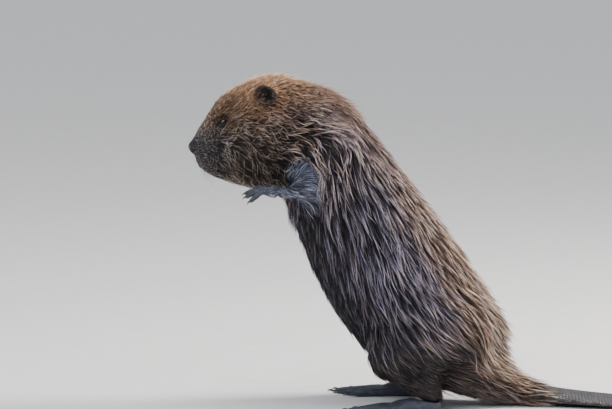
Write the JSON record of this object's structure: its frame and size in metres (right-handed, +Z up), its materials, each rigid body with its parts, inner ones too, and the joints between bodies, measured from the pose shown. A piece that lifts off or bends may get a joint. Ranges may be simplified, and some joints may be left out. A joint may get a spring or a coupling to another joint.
{
  "type": "beaver model",
  "caption": "Life-size still model of a young beaver standing upright on its hind feet and flat tail, forepaws held out in front of its chest.",
  "frame": {"origin": "centre of the bounding box seen from above, on the floor under the soles", "axes": "+Z up; the beaver faces -X, its tail points to +X; its left side faces -Y and its right side +Y"},
  "size_m": [0.5814, 0.231, 0.3983],
  "materials": {
    "head_coat": "short dense reddish-brown fur",
    "body_coat": "damp dark brown fur in long lighter guard hairs",
    "limb_coat": "short sleek dark grey-brown fur",
    "bare_skin": "bare purple-grey skin, fine creases, slightly moist",
    "tail_scales": "bare dark grey-brown skin in small flat scales",
    "nose_pad": "moist near-black nose skin",
    "eyeball": "wet near-black",
    "claw": "worn horn, brown-grey"
  },
  "bodies": {
    "root": {"head": "head_coat", "neck": "body_coat", "trunk": "body_coat", "tail_base": "body_coat", "tail_paddle": "tail_scales", "nose": "nose_pad", "eye_left": "eyeball", "ear_left": "limb_coat", "eye_right": "eyeball", "ear_right": "limb_coat", "upper_arm_left": "limb_coat", "forearm_left": "limb_coat", "forepaw_left": "bare_skin", "foreclaw_left_1": "claw", "foreclaw_left_2": "claw", "foreclaw_left_3": "claw", "foreclaw_left_4": "claw", "foreclaw_left_5": "claw", "thigh_left": "body_coat", "shank_left": "limb_coat", "hindfoot_left": "bare_skin", "hindclaw_left_1": "claw", "hindclaw_left_2": "claw", "hindclaw_left_3": "claw", "hindclaw_left_4": "claw", "hindclaw_left_5": "claw", "upper_arm_right": "limb_coat", "forearm_right": "limb_coat", "forepaw_right": "bare_skin", "foreclaw_right_1": "claw", "foreclaw_right_2": "claw", "foreclaw_right_3": "claw", "foreclaw_right_4": "claw", "foreclaw_right_5": "claw", "thigh_right": "body_coat", "shank_right": "limb_coat", "hindfoot_right": "bare_skin", "hindclaw_right_1": "claw", "hindclaw_right_2": "claw", "hindclaw_right_3": "claw", "hindclaw_right_4": "claw", "hindclaw_right_5": "claw"}
  },
  "joints": []
}
